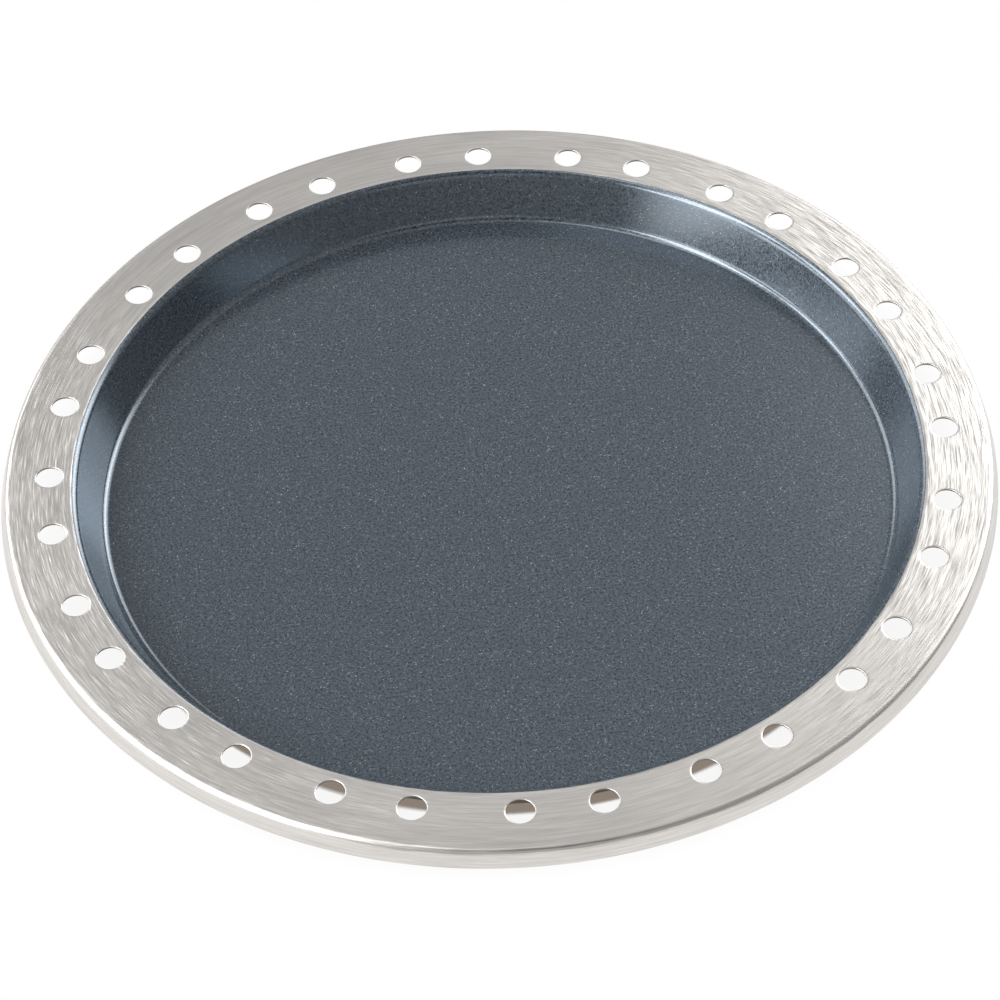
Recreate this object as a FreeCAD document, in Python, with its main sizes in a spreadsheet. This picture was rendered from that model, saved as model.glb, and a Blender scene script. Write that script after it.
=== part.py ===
import FreeCAD, Part
import math
import os

import Sketcher

# Round pizza pan in two pieces.
#
#   pan_body          one disc of stainless steel sheet, pressed into a shallow well with a
#                     leaning wall, a wide flat flange and a short flared lip. Pairs of
#                     round holes are punched through the flange.
#   nonstick_lining   the baked coating on the floor, on the wall and round most of the bend
#                     at the well's mouth, where it stops in a clean ring.
#
# Millimetres, +Z up. The origin is the centre of the underside of the base, so the pan stands
# on z = 0. The +X axis runs midway between the two holes of one pair.

# Driving dimensions. The mouth is the corner where the upper faces of the wall and the flange
# would meet, and the rim the corner of the flange and the lip. A bend's radius is the one on
# the inside of the bend.
DIMENSIONS = (
    ("sheet_thickness", 0.8, "steel sheet, the same all over"),
    ("overall_diameter", 355.6, "across the outer edge of the lip"),
    ("well_depth", 18.0, "top of the flange down to the steel floor"),
    ("wall_lean", 24.3, "wall's angle from upright, degrees"),
    ("floor_bend", 3.2, "between the floor and the wall"),
    ("mouth_bend", 2.7, "between the wall and the flange"),
    ("rim_bend", 1.2, "between the flange and the lip"),
    ("flange_width", 24.9, "from the mouth to the rim"),
    ("lip_flare", 2.1, "how far the lip leans out"),
    ("lip_drop", 6.4, "top of the flange down to the lip's outer edge"),
    ("bend_flats", 3, "short flats that make up the floor's and the mouth's bends"),
    ("rim_flats", 2, "short flats that make up the rim's bend"),
    ("hole_diameter", 9.7, "punched holes"),
    ("hole_inset", 9.2, "from the mouth out to the hole centres"),
    ("hole_pairs", 16, "pairs of holes round the flange"),
    ("pair_spread", 9.9, "angle between the two holes of a pair, degrees"),
    ("lining_thickness", 0.1, "baked coating"),
)

# What both pieces are drawn from, as expressions on the sheet. The wall turns up from the
# floor, and down from the flange, by WALL_TURN, and the lip turns down by LIP_TURN.
WALL_TURN = "(90 - Sizes.wall_lean)"
LIP_TURN = "atan(Sizes.lip_drop / Sizes.lip_flare)"
RIM_RADIUS = "(Sizes.overall_diameter / 2 - Sizes.lip_flare)"
MOUTH_RADIUS = f"({RIM_RADIUS} - Sizes.flange_width)"
FLOOR_RADIUS = f"({MOUTH_RADIUS} - Sizes.well_depth * tan(Sizes.wall_lean))"

# Radius of each bend on the steel's upper side, and its centre's distance from the axis and
# height above the steel floor.
FLOOR_ROUND = "Sizes.floor_bend"
MOUTH_ROUND = "(Sizes.mouth_bend + Sizes.sheet_thickness)"
RIM_ROUND = "(Sizes.rim_bend + Sizes.sheet_thickness)"
FLOOR_CENTRE = (f"{FLOOR_RADIUS} - {FLOOR_ROUND} * tan({WALL_TURN} / 2)", FLOOR_ROUND)
MOUTH_CENTRE = (f"{MOUTH_RADIUS} + {MOUTH_ROUND} * tan({WALL_TURN} / 2)",
                f"Sizes.well_depth - {MOUTH_ROUND}")
RIM_CENTRE = (f"{RIM_RADIUS} - {RIM_ROUND} * tan({LIP_TURN} / 2)",
              f"Sizes.well_depth - {RIM_ROUND}")

# How a sketch constraint names the ends of a line, the centre of a circle, and the sketch's
# own origin and axes.
START, END, CENTRE = 1, 2, 3
ORIGIN = (-1, 1)
ACROSS, UPRIGHT = -1, -2

PUNCHED_MATCH = 0.01    # share by which the metal punched out may differ from the sum of holes


def make_sheet(doc):
    """The spreadsheet of driving dimensions: name, value and what it is."""
    sheet = doc.addObject("Spreadsheet::Sheet", "Sizes")
    for row, (alias, value, note) in enumerate(DIMENSIONS, start=1):
        sheet.set(f"A{row}", alias)
        sheet.set(f"B{row}", str(value))
        sheet.set(f"C{row}", note)
        sheet.setAlias(f"B{row}", alias)
    doc.recompute()
    return sheet


def make_body(doc, label):
    body = doc.addObject("PartDesign::Body", label)
    body.Label = label
    return body


def origin_part(body, role):
    """One of the body's own origin planes or axes, by its role."""
    return next(part for part in body.Origin.OriginFeatures if part.Role == role)


def make_sketch(body, name, plane_role):
    sketch = body.newObject("Sketcher::SketchObject", name)
    sketch.AttachmentSupport = [(origin_part(body, plane_role), "")]
    sketch.MapMode = "FlatFace"
    return sketch


def tie(sketch, *constraint):
    return sketch.addConstraint(Sketcher.Constraint(*constraint))


def bind(sketch, name, expression, *constraint):
    """A dimension of a sketch, tied to the sheet by an expression."""
    number = tie(sketch, *constraint, sketch.evalExpression(expression))
    sketch.renameConstraint(number, name)
    sketch.setExpression(f"Constraints.{name}", expression)


def bend(name, centre, radius, turn, side, flats, base="0", first=0):
    """The points of one bend, as (name, distance from the axis, height) expressions.

    They run in equal turns from the bend's level end to its steep end, and first leaves out
    that many of them. side holds two signs: outside or inside of the centre, above or below
    it. base is the height of the steel floor. A bend is a run of short flats rather than an
    arc: it keeps within 0.1 mm of the round one, and the mesh of the whole pan stays light.
    """
    outward, upward = side
    centre_out, centre_up = centre
    points = []
    for step in range(first, flats + 1):
        angle = f"{turn} * {step} / {flats}"
        points.append((f"{name}_{step}",
                       f"{centre_out} {outward} {radius} * sin({angle})",
                       f"{base} + {centre_up} {upward} {radius} * cos({angle})"))
    return points


def draw_section(body, name, points):
    """Half a section on the XZ plane, closed, with each of its points tied to the sheet.

    It starts at the origin with a level line, and ends on the axis.
    """
    section = make_sketch(body, name, "XZ_Plane")
    corners = [FreeCAD.Vector(section.evalExpression(out), section.evalExpression(up), 0)
               for _, out, up in points]
    for corner, following in zip(corners, corners[1:] + corners[:1]):
        section.addGeometry(Part.LineSegment(corner, following), False)
    count = len(points)
    for line in range(count):
        tie(section, "Coincident", line, END, (line + 1) % count, START)

    tie(section, "Coincident", 0, START, *ORIGIN)
    tie(section, "Horizontal", 0)
    tie(section, "PointOnObject", count - 1, START, UPRIGHT)
    for line, (label, out, up) in enumerate(points):
        if 0 < line < count - 1:
            bind(section, f"{label}_out", out, "DistanceX", *ORIGIN, line, START)
        if line > 1:
            bind(section, f"{label}_up", up, "DistanceY", *ORIGIN, line, START)
    return section


def revolve(body, section, name):
    turned = body.newObject("PartDesign::Revolution", name)
    turned.Profile = section
    turned.ReferenceAxis = (origin_part(body, "Z_Axis"), [""])
    turned.Angle = 360
    section.Visibility = False
    body.Document.recompute()
    return turned


def pan_section(flats, rim_flats):
    """Half the pan's section: out along the underside, round the lip and back along the top."""
    sheet = "Sizes.sheet_thickness"

    def well_bend(name, centre, radius, side):
        return bend(name, centre, radius, WALL_TURN, side, flats, base=sheet)

    def rim_bend(name, radius):
        return bend(name, RIM_CENTRE, radius, LIP_TURN, "++", rim_flats, base=sheet)

    floor_under = well_bend("floor_under", FLOOR_CENTRE, f"({FLOOR_ROUND} + {sheet})", "+-")
    mouth_under = well_bend("mouth_under", MOUTH_CENTRE, "Sizes.mouth_bend", "-+")
    rim_under = rim_bend("rim_under", "Sizes.rim_bend")
    rim_top = rim_bend("rim_top", RIM_ROUND)
    mouth_top = well_bend("mouth_top", MOUTH_CENTRE, MOUTH_ROUND, "-+")
    floor_top = well_bend("floor_top", FLOOR_CENTRE, FLOOR_ROUND, "+-")

    lip_out = "Sizes.overall_diameter / 2"
    lip_up = f"{sheet} + Sizes.well_depth - Sizes.lip_drop"
    lip_end = [
        ("lip_inside", f"{lip_out} - {sheet} * sin({LIP_TURN})",
         f"{lip_up} - {sheet} * cos({LIP_TURN})"),
        ("lip_outside", lip_out, lip_up),
    ]
    underside = floor_under + mouth_under[::-1] + rim_under
    upper_side = rim_top[::-1] + mouth_top + floor_top[::-1]
    base, floor = [("base_centre", "0", "0")], [("floor_centre", "0", sheet)]
    return base + underside + lip_end + upper_side + floor


def punch_holes(body, pairs):
    """One pair of holes through the flange, repeated round it."""
    doc = body.Document
    uncut = body.Tip.Shape.Volume
    pair = make_sketch(body, "hole_pair", "XY_Plane")
    pair.setExpression("AttachmentOffset.Base.z", "Sizes.well_depth + Sizes.sheet_thickness")
    hole_circle = f"{MOUTH_RADIUS} + Sizes.hole_inset"
    reach = pair.evalExpression(hole_circle)
    radius = doc.Sizes.hole_diameter / 2
    half = math.radians(doc.Sizes.pair_spread / 2)

    centres = [FreeCAD.Vector(reach * math.cos(half), turn * reach * math.sin(half), 0)
               for turn in (1, -1)]
    left, right = (pair.addGeometry(Part.Circle(centre, FreeCAD.Vector(0, 0, 1), radius), False)
                   for centre in centres)
    spoke = pair.addGeometry(Part.LineSegment(FreeCAD.Vector(0, 0, 0), centres[0]), True)
    tie(pair, "Coincident", spoke, START, *ORIGIN)
    tie(pair, "Coincident", spoke, END, left, CENTRE)
    tie(pair, "Symmetric", left, CENTRE, right, CENTRE, ACROSS)
    tie(pair, "Equal", left, right)
    bind(pair, "hole_diameter", "Sizes.hole_diameter", "Diameter", left)
    bind(pair, "hole_circle_radius", hole_circle, "Distance", spoke)
    bind(pair, "half_spread", "Sizes.pair_spread * 1deg / 2", "Angle", ACROSS, START, spoke, START)

    punched = body.newObject("PartDesign::Pocket", "punched_pair")
    punched.Profile = pair
    punched.Type = "Length"
    punched.setExpression("Length", "Sizes.sheet_thickness")
    pair.Visibility = False
    doc.recompute()

    ring = body.newObject("PartDesign::PolarPattern", "pairs_round_flange")
    ring.Originals = [punched]
    ring.Axis = (origin_part(body, "Z_Axis"), [""])
    ring.Angle = 360
    ring.setExpression("Occurrences", "Sizes.hole_pairs")
    body.Tip = ring
    doc.recompute()

    removed = uncut - ring.Shape.Volume
    expected = 2 * pairs * math.pi * radius ** 2 * doc.Sizes.sheet_thickness
    print(f"punched out {removed:.2f} mm3, expected {expected:.2f} mm3")
    if abs(removed - expected) > PUNCHED_MATCH * expected:
        raise RuntimeError("the holes didn't cut the flange as they should")


def make_pan_body(doc, flats):
    """The steel: its section turned about the axis, and the holes punched through the flange."""
    body = make_body(doc, "pan_body")
    section = draw_section(body, "pan_section", pan_section(flats, int(doc.Sizes.rim_flats)))
    revolve(body, section, "pressed_sheet")
    punch_holes(body, int(doc.Sizes.hole_pairs))
    return body


def lining_section(flats):
    """Half the lining's section, lying on the steel. It stops one flat short of the flange."""
    lining = "Sizes.lining_thickness"

    def floor_bend(name, radius):
        return bend(name, FLOOR_CENTRE, radius, WALL_TURN, "+-", flats)

    def mouth_bend(name, radius):
        return bend(name, MOUTH_CENTRE, radius, WALL_TURN, "-+", flats, first=1)

    floor_under = floor_bend("floor_under", FLOOR_ROUND)
    mouth_under = mouth_bend("mouth_under", MOUTH_ROUND)
    mouth_top = mouth_bend("mouth_top", f"({MOUTH_ROUND} + {lining})")
    floor_top = floor_bend("floor_top", f"({FLOOR_ROUND} - {lining})")
    base, surface = [("base_centre", "0", "0")], [("surface_centre", "0", lining)]
    return base + floor_under + mouth_under[::-1] + mouth_top + floor_top[::-1] + surface


def make_lining(doc, flats):
    """The coating, which follows the steel's upper side from the floor to the mouth's bend."""
    body = make_body(doc, "nonstick_lining")
    revolve(body, draw_section(body, "lining_section", lining_section(flats)), "baked_coating")
    body.setExpression("Placement.Base.z", "Sizes.sheet_thickness")
    return body


def check(doc, pieces):
    """Stops before anything is written if an object failed or a piece isn't one valid solid."""
    for item in doc.Objects:
        if "Invalid" in item.State or "Error" in item.State:
            raise RuntimeError(f"{item.Name} failed: {item.State}")
    for piece in pieces:
        shape = piece.Shape
        if shape.isNull() or not shape.isValid() or len(shape.Solids) != 1:
            raise RuntimeError(f"{piece.Label} is not one valid solid")
        print(f"{piece.Label}: {shape.Volume:.1f} mm3, {len(shape.Faces)} faces")


def main():
    doc = FreeCAD.newDocument("pizza_pan")
    sheet = make_sheet(doc)
    flats = int(sheet.bend_flats)
    pieces = [make_pan_body(doc, flats), make_lining(doc, flats)]
    doc.recompute()
    check(doc, pieces)
    os.makedirs("parts", exist_ok=True)
    for piece in pieces:
        piece.Shape.exportStep(f"parts/{piece.Label}.step")


main()
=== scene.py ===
"""A round pizza pan, pressed from one steel sheet, with a non-stick lining baked on in its well."""
from math import atan2, cos, pi, radians, sin

import bmesh
import bpy
from mathutils import Matrix, Vector


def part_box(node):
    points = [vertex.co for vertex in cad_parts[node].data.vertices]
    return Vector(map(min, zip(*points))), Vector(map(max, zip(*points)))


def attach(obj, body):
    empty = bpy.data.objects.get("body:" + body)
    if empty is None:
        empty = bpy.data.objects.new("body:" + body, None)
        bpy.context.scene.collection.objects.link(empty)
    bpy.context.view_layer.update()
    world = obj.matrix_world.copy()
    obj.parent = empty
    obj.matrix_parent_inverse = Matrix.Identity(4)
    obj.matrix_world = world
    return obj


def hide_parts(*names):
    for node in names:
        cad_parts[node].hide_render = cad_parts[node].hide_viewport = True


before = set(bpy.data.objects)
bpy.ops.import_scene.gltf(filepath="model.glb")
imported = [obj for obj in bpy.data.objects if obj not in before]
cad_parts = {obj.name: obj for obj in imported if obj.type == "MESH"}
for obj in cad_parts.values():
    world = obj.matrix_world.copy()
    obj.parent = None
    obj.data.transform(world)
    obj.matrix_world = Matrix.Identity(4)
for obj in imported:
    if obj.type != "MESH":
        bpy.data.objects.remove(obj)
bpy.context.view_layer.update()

# The steel sheet is one disc of 0.8 mm stainless steel, pressed into a shallow well with a leaning
# wall, a wide flat flange and a short flared lip.  Sixteen pairs of holes are punched down through
# the flange, and the steel is brushed on a turntable, so its grain runs round the pan.

mm = 0.001
sheet = 0.8 * mm
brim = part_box("pan_body")[1]
rim_radius, flange_height = brim.x, brim.z
wall_lean = radians(24.3)
floor_bend, mouth_bend, rim_bend = 3.2 * mm, 3.5 * mm, 2.0 * mm
flange_width, lip_flare, lip_drop = 24.9 * mm, 2.1 * mm, 6.4 * mm

rim_corner = rim_radius - lip_flare
mouth_corner = rim_corner - flange_width
floor_corner = mouth_corner - (flange_height - sheet) * sin(wall_lean) / cos(wall_lean)
wall_turn = pi / 2 - wall_lean
lip_turn = atan2(lip_drop, lip_flare)

faces_round = 384
bend_steps, rim_bend_steps = 12, 10
hold = 0.4 * mm  # a narrow row of faces on each side of a bend, which keeps the flats flat
same_point, same_level = 0.005 * mm, 0.001 * mm
sharp_edge, soft_edge, edge_steps = radians(50), radians(35), 3


def begin_section(name, height):
    """A new mesh holding one point on the axis, from which a section is drawn in edit mode."""
    bpy.ops.object.select_all(action="DESELECT")
    bpy.ops.mesh.primitive_plane_add(size=mm, location=(0, 0, 0))
    piece = bpy.context.object
    piece.name = piece.data.name = name
    bpy.ops.object.mode_set(mode="EDIT")
    bpy.ops.mesh.select_mode(type="VERT")
    bpy.ops.mesh.merge(type="CENTER")
    bpy.ops.transform.translate(value=(0, 0, height))
    return piece


def selected_point():
    """Where the drawn section ends so far."""
    drawn = bmesh.from_edit_mesh(bpy.context.object.data)
    return next(point.co.copy() for point in drawn.verts if point.select)


def line_on(distance, slope=0.0):
    """Draws the section straight on, at a slope above the level."""
    step = (distance * cos(slope), 0, distance * sin(slope))
    bpy.ops.mesh.extrude_region_move(TRANSFORM_OT_translate={"value": step})


def bend_on(radius, slope, turn, steps):
    """Bends the section on round an arc: a turn above 0 bends it upwards."""
    side = 1 if turn > 0 else -1
    centre = selected_point() + side * radius * Vector((-sin(slope), 0, cos(slope)))
    bpy.ops.mesh.spin(steps=steps, angle=turn, center=centre, axis=(0, 1, 0))


def set_back(radius, turn):
    """How far before its corner a bend of this radius and turn begins."""
    return radius * (1 - cos(turn)) / sin(turn)


def draw_well():
    """Draws the sheet's upper side from the axis to the foot of the mouth's bend."""
    floor_start, mouth_start = set_back(floor_bend, wall_turn), set_back(mouth_bend, wall_turn)
    wall_length = (flange_height - sheet) / sin(wall_turn) - floor_start - mouth_start
    line_on(floor_corner / 2)
    line_on(floor_corner / 2 - floor_start - hold)
    line_on(hold)
    bend_on(floor_bend, 0, wall_turn, bend_steps)
    line_on(hold, wall_turn)
    line_on(wall_length - 2 * hold, wall_turn)
    line_on(hold, wall_turn)


def turn_round(hollow_side_out):
    """Spins the section round the pan's axis, closes its seam and pole, and faces it upwards."""
    bpy.ops.mesh.select_all(action="SELECT")
    bpy.ops.mesh.spin(steps=faces_round, angle=2 * pi, center=(0, 0, 0), axis=(0, 0, 1))
    bpy.ops.mesh.select_all(action="SELECT")
    bpy.ops.mesh.remove_doubles(threshold=same_point)
    bpy.ops.mesh.normals_make_consistent(inside=hollow_side_out)


def thicken(piece, thickness, side, rounding):
    """Gives a sheet its thickness, above it for side 1 or below it for -1, and rounds its edges."""
    bpy.ops.object.mode_set(mode="OBJECT")
    wall = piece.modifiers.new("thickness", "SOLIDIFY")
    wall.thickness, wall.offset, wall.use_even_offset = thickness, side, True
    bpy.ops.object.modifier_apply(modifier=wall.name)
    cut_edges = piece.modifiers.new("cut edges", "BEVEL")
    cut_edges.width, cut_edges.segments = rounding, edge_steps
    cut_edges.limit_method, cut_edges.angle_limit = "ANGLE", sharp_edge
    bpy.ops.object.modifier_apply(modifier=cut_edges.name)
    bpy.ops.object.shade_smooth_by_angle(angle=soft_edge)


mouth_set_back, rim_set_back = set_back(mouth_bend, wall_turn), set_back(rim_bend, lip_turn)
lip_length = (lip_drop**2 + lip_flare**2) ** 0.5 - rim_set_back

steel_pan = begin_section("steel_pan", sheet)
draw_well()
bend_on(mouth_bend, wall_turn, -wall_turn, bend_steps)
line_on(hold)
line_on(hold)
line_on(flange_width - mouth_set_back - rim_set_back - 4 * hold)
line_on(hold)
line_on(hold)
bend_on(rim_bend, 0, -lip_turn, rim_bend_steps)
line_on(hold, -lip_turn)
line_on(lip_length - hold, -lip_turn)
turn_round(hollow_side_out=False)


def select_faces(wanted):
    """Selects the faces whose middles are wanted."""
    bpy.ops.mesh.select_all(action="DESELECT")
    drawn = bmesh.from_edit_mesh(bpy.context.object.data)
    for face in drawn.faces:
        face.select_set(wanted(face.calc_center_median()))
    bmesh.update_edit_mesh(bpy.context.object.data)


def on_flange(point):
    """Whether a point lies on the flange's flat, where the holes are."""
    flat_in, flat_out = mouth_corner + mouth_set_back, rim_corner - rim_set_back
    return flat_in + 2 * hold < point.xy.length < flat_out - 2 * hold


# The flange's flat is cleared, one hole's wall is drawn and copied round, and the flat is filled
# again as one face with all the holes in it.
select_faces(on_flange)
bpy.ops.mesh.delete(type="FACE")

hole_radius, hole_ring, hole_sides = 4.85 * mm, 160.0 * mm, 48
pairs, spread = 16, radians(9.9)
rolled_in = ((0.25, 0.05), (0.35, 0.03), (0.4, 0.0))  # each step out and up, in millimetres

first_hole = Vector((hole_ring * cos(spread / 2), hole_ring * sin(spread / 2), flange_height))
depth = sum(rise for width, rise in rolled_in) * mm
bpy.ops.mesh.select_all(action="DESELECT")
bpy.ops.mesh.primitive_circle_add(
    vertices=hole_sides, radius=hole_radius, location=first_hole - Vector((0, 0, depth))
)
edge_radius = hole_radius
for width, rise in rolled_in:
    bpy.ops.mesh.extrude_region_move(TRANSFORM_OT_translate={"value": (0, 0, rise * mm)})
    wider = (edge_radius + width * mm) / edge_radius
    bpy.ops.transform.resize(value=(wider, wider, 1), center_override=first_hole)
    edge_radius += width * mm
for copies, sweep in ((1, spread), (pairs - 1, 2 * pi * (pairs - 1) / pairs)):
    select_faces(on_flange)
    bpy.ops.mesh.spin(
        steps=copies, dupli=True, angle=sweep, center=(0, 0, 0), axis=(0, 0, 1)
    )

bpy.ops.mesh.select_all(action="DESELECT")
bpy.ops.mesh.select_mode(type="EDGE")
drawn = bmesh.from_edit_mesh(steel_pan.data)
for edge in drawn.edges:
    level = all(abs(point.co.z - flange_height) < same_level for point in edge.verts)
    edge.select_set(edge.is_boundary and level)
bmesh.update_edit_mesh(steel_pan.data)
bpy.ops.mesh.fill()
bpy.ops.mesh.select_all(action="SELECT")
bpy.ops.mesh.normals_make_consistent(inside=False)
thicken(steel_pan, sheet, side=-1, rounding=0.12 * mm)


class Amount:
    """A number or colour that changes over a surface; a sum on it becomes Math nodes."""

    def __init__(self, finish, socket):
        self.finish, self.socket = finish, socket

    def maths(self, operation, *terms):
        return self.finish.node(
            "ShaderNodeMath", {"operation": operation}, dict(enumerate(terms))
        )

    def __add__(self, other):
        return self.maths("ADD", self, other)

    def __sub__(self, other):
        return self.maths("SUBTRACT", self, other)

    def __rsub__(self, other):
        return self.maths("SUBTRACT", other, self)

    def __mul__(self, other):
        return self.maths("MULTIPLY", self, other)

    def __or__(self, other):
        return self.maths("MAXIMUM", self, other)

    __radd__, __rmul__ = __add__, __mul__


class Finish:
    """The nodes of one finish, or of the light round the pan."""

    def __init__(self, holder):
        holder.use_nodes = True
        self.tree = holder.node_tree
        self.tree.nodes.clear()

    def node(self, kind, settings=None, sockets=None, output=0):
        """A node with its settings, and with the values or links of its sockets."""
        new = self.tree.nodes.new(kind)
        for name, value in (settings or {}).items():
            setattr(new, name, value)
        for name, value in (sockets or {}).items():
            if isinstance(value, Amount):
                self.tree.links.new(value.socket, new.inputs[name])
            else:
                new.inputs[name].default_value = value
        return Amount(self, new.outputs[output]) if new.outputs else None

    def vector(self, operation, *terms, output=0):
        return self.node(
            "ShaderNodeVectorMath", {"operation": operation}, dict(enumerate(terms)), output
        )

    def scaled(self, arrow, size):
        return self.node(
            "ShaderNodeVectorMath", {"operation": "SCALE"}, {0: arrow, "Scale": size}
        )

    def mix(self, share, first, second):
        """A colour between two, by a share from 0 to 1."""
        return self.node(
            "ShaderNodeMix", {"data_type": "RGBA"}, {0: share, 6: first, 7: second}, 2
        )

    def ramp(self, amount, low, high, from_value=0.0, to_value=1.0):
        """An amount that eases between two values as another goes from low to high."""
        return self.node(
            "ShaderNodeMapRange",
            {"interpolation_type": "SMOOTHSTEP"},
            {0: amount, 1: low, 2: high, 3: from_value, 4: to_value},
        )


bare_steel = bpy.data.materials.new("brushed_stainless_steel")
steel = Finish(bare_steel)
groove, ridge = (0.64, 0.615, 0.585, 1), (0.79, 0.765, 0.735, 1)
polish, cloudiness, scratchiness = 0.25, 0.08, 0.05
fine_lean, broad_lean = 0.65, 0.04

steel_place = steel.node("ShaderNodeTexCoord", output="Object")
facing = steel.node("ShaderNodeNewGeometry", output="Normal")
level_place = steel.vector("MULTIPLY", steel_place, (1, 1, 0))
outward = steel.vector("NORMALIZE", level_place)
above_table = steel.node("ShaderNodeSeparateXYZ", sockets={0: steel_place}, output="Z")
across = steel.vector("LENGTH", level_place, output="Value") - above_table


def grain(length, width, detail):
    """Brush strokes of about this length round the pan and this width across its sheet."""
    lane = steel.node("ShaderNodeCombineXYZ", sockets={"Z": across * (1 / width)})
    stroke_place = steel.vector("ADD", steel.scaled(outward, hole_ring / length), lane)
    return steel.node(
        "ShaderNodeTexNoise",
        sockets={"Vector": stroke_place, "Scale": 1.0, "Detail": detail, "Roughness": 0.6},
    )


fine_grain = grain(9 * mm, 0.13 * mm, 1.0)
broad_grain = grain(22 * mm, 0.9 * mm, 2.0)
cloud = grain(60 * mm, 12 * mm, 1.0)
along_grain = steel.vector("CROSS_PRODUCT", (0, 0, 1), outward)
over_grain = steel.vector("CROSS_PRODUCT", along_grain, facing)
lean = (fine_grain - 0.5) * fine_lean + (broad_grain - 0.5) * broad_lean
leaning = steel.vector("ADD", facing, steel.scaled(over_grain, lean))
steel_surface = steel.node(
    "ShaderNodeBsdfPrincipled",
    sockets={
        "Base Color": steel.mix(
            steel.ramp(fine_grain * 0.4 + broad_grain * 0.6, 0.34, 0.66), groove, ridge
        ),
        "Metallic": 1.0,
        "Roughness": polish + cloudiness * cloud + scratchiness * fine_grain,
        "Normal": steel.vector("NORMALIZE", leaning),
    },
)
steel.node("ShaderNodeOutputMaterial", sockets={"Surface": steel_surface})
steel_pan.data.materials.append(bare_steel)
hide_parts("pan_body")
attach(steel_pan, "root")

# The non-stick lining is a dark slate coating, sprayed over the well's floor and wall and baked on.
# It stops part of the way round the mouth's bend; its fine metal flakes sparkle, and pale specks
# are painted glints.

lining_thickness = 0.1 * mm
lining_end, lining_end_steps = radians(50), 9

lining = begin_section("nonstick_lining_coat", sheet)
draw_well()
bend_on(mouth_bend, wall_turn, -lining_end, lining_end_steps)
turn_round(hollow_side_out=True)
thicken(lining, lining_thickness, side=1, rounding=0.04 * mm)

slate = bpy.data.materials.new("slate_nonstick_coating")
coat = Finish(slate)
darker_slate, lighter_slate = (0.006, 0.007, 0.009, 1), (0.010, 0.012, 0.016, 1)
flake_colour, painted_glint_colour = (0.135, 0.168, 0.205, 1), (0.32, 0.35, 0.36, 1)
blue_sheen = (0.80, 0.905, 1.0, 1)
coat_polish, flake_dullness, flake_share = 0.13, 0.08, 0.7

coat_place = coat.node("ShaderNodeTexCoord", output="Object")


def speckle(size, detail):
    """Grains of about this size, scattered evenly."""
    return coat.node(
        "ShaderNodeTexNoise",
        sockets={"Vector": coat_place, "Scale": 1 / size, "Detail": detail, "Roughness": 0.7},
    )


flakes = coat.ramp(speckle(0.9 * mm, 3.0), 0.34, 0.72)
patches = coat.ramp(speckle(6 * mm, 2.0), 0.35, 0.65)
# Painted glints: sparse pale specks in the coating's colour stand in for light glinting off its
# flakes.
painted_glints = coat.ramp(speckle(0.6 * mm, 1.0), 0.64, 0.76)
flecked = coat.mix(flakes, coat.mix(patches, darker_slate, lighter_slate), flake_colour)
orange_peel = coat.node(
    "ShaderNodeBump",
    sockets={"Strength": 0.2, "Distance": 0.02 * mm, "Height": speckle(0.7 * mm, 2.0)},
)
coat_surface = coat.node(
    "ShaderNodeBsdfPrincipled",
    sockets={
        "Base Color": coat.mix(painted_glints, flecked, painted_glint_colour),
        "Metallic": flake_share * flakes,
        "Roughness": coat_polish + flake_dullness * flakes,
        "IOR": 2.1,
        "Specular Tint": blue_sheen,
        "Normal": orange_peel,
    },
)
coat.node("ShaderNodeOutputMaterial", sockets={"Surface": coat_surface})
lining.data.materials.append(slate)
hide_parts("nonstick_lining")
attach(lining, "root")

# The pan stands on a plain white table inside a white light tent.  Bright panels stand at the
# tent's back and all along its left, and only a small patch over the camera is left dark.

table_width, table_drop = 6, 0.1 * mm
flange_reach, foot_reach, shade_rays = 40 * mm, 8 * mm, 32
plain_white, matt_white = (1.0, 1.0, 1.0, 1), (0.80, 0.80, 0.79, 1)
warm_shade, deep_shade = (0.26, 0.216, 0.181, 1), (0.12, 0.11, 0.093, 1)

bpy.ops.object.select_all(action="DESELECT")
bpy.ops.mesh.primitive_plane_add(size=table_width, location=(0, 0, -table_drop))
table = bpy.context.object
table.name = "white_table"
bpy.ops.object.transform_apply(location=True)
table_top = bpy.data.materials.new("white_table_top")
top = Finish(table_top)


def openness(reach):
    """How open the table lies to the sky, from 0 to 1, counting what stands within a reach."""
    return top.node(
        "ShaderNodeAmbientOcclusion", {"samples": shade_rays}, {"Distance": reach}, output="AO"
    )


open_sky, clear_of_foot = openness(flange_reach), openness(foot_reach)
by_camera = top.node("ShaderNodeLightPath", output="Is Camera Ray")
by_metal = top.node("ShaderNodeLightPath", output="Is Glossy Ray")
# Painted shadow: the table glows white to the camera and to metal, darkened where it lies closed
# in. The camera sees a painted shadow at the pan's foot and a faint one under the flange, in warm
# brown. The metal's reflections show a deeper painted shade there.
camera_white_with_painted_shadow = top.ramp(clear_of_foot, 0.55, 0.60) * top.ramp(open_sky, 0.0, 0.5, 0.88, 1.0)
white_share_with_painted_shadow = camera_white_with_painted_shadow * by_camera + top.ramp(open_sky, 0.2, 0.6) * by_metal
table_glow_with_painted_shadow = top.mix(white_share_with_painted_shadow, top.mix(by_metal, warm_shade, deep_shade), plain_white)
matt = top.node("ShaderNodeBsdfDiffuse", sockets={"Color": matt_white})
glow = top.node("ShaderNodeEmission", sockets={"Color": table_glow_with_painted_shadow, "Strength": 1.0})
surface = top.node("ShaderNodeMixShader", sockets={0: by_camera | by_metal, 1: matt, 2: glow})
top.node("ShaderNodeOutputMaterial", sockets={"Surface": surface})
table.data.materials.append(table_top)

tent = bpy.data.worlds.new("light_tent")
bpy.context.scene.world = tent
sky = Finish(tent)
way = sky.node("ShaderNodeTexCoord", output="Generated")
way_up = sky.node("ShaderNodeSeparateXYZ", sockets={0: way}, output="Z")
at_the_table, overhead = 0.265, 0.365

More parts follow.
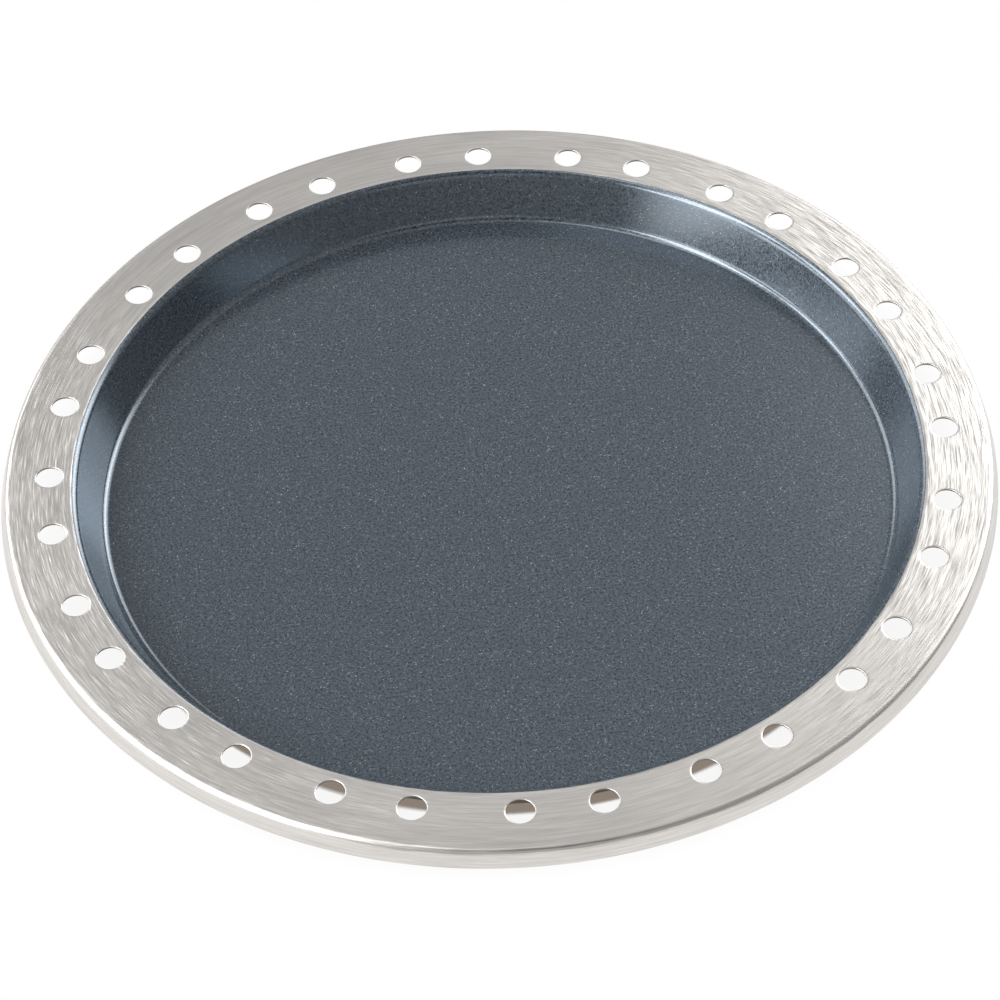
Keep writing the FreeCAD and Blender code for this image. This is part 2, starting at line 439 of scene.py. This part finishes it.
# Each panel's azimuth, height, half-width and blur in degrees, and its strength.  Azimuth 0 is to
# the right and 90 at the back, and a strength below 0 takes light away.
panels = (
    (38, 24, 9, 12, 4.5),
    (52, 34, 10, 13, 2.8),
    (128, 34, 9, 12, 2.8),
    (160, 37, 7, 7, 7.0),
    (150, 70, 8, 9, 2.2),
    (187, 51, 7, 7, 9.0),
    (209, 37, 7, 7, 8.0),
    (202, 8, 6, 22, 3.2),
    (172, 8, 6, 20, 2.6),
    (-90, 34, 12, 13, 0.24),
    (-90, 62, 14, 9, -0.33),
)


def panel(azimuth, elevation, half_width, blur, strength):
    """The light of one round, soft-edged panel of the tent."""
    side, up = radians(azimuth), radians(elevation)
    middle = (cos(side) * cos(up), sin(side) * cos(up), sin(up))
    nearness = sky.vector("DOT_PRODUCT", way, middle, output="Value")
    outer, inner = cos(radians(half_width + blur)), cos(radians(half_width))
    return sky.ramp(nearness, outer, inner, 0.0, strength)


light = sky.ramp(way_up, 0.0, 0.6, at_the_table, overhead)
for one in panels:
    light = light + panel(*one)
to_camera = sky.node("ShaderNodeLightPath", output="Is Camera Ray")
tent_light = sky.node(
    "ShaderNodeBackground",
    sockets={"Color": plain_white, "Strength": light * (1 - to_camera) + to_camera},
)
sky.node("ShaderNodeOutputWorld", sockets={"Surface": tent_light})
bpy.context.scene.view_settings.view_transform = "Standard"

# The camera looks down on the pan at 47 degrees from a little over a metre away.  It is tipped by
# a few degrees, and turned by a quarter of the way from one pair of holes to the next.

camera_distance = 1121.8 * mm
look_down, tip_over, turned = radians(47.35), radians(-2.70), radians(-5.65)
off_centre = Vector((-0.94 * mm, 17.09 * mm, -camera_distance))
film_width, focal_length = 36, 113.12

camera = bpy.data.objects.new("camera", bpy.data.cameras.new("camera"))
bpy.context.scene.collection.objects.link(camera)
aim = (
    Matrix.Rotation(turned, 3, "Z")
    @ Matrix.Rotation(pi / 2 - look_down, 3, "X")
    @ Matrix.Rotation(tip_over, 3, "Z")
)
camera.location = Vector((0, 0, flange_height)) - aim @ off_centre
camera.rotation_euler = aim.to_euler()
camera.data.sensor_width = film_width
camera.data.lens = focal_length
bpy.context.scene.camera = camera
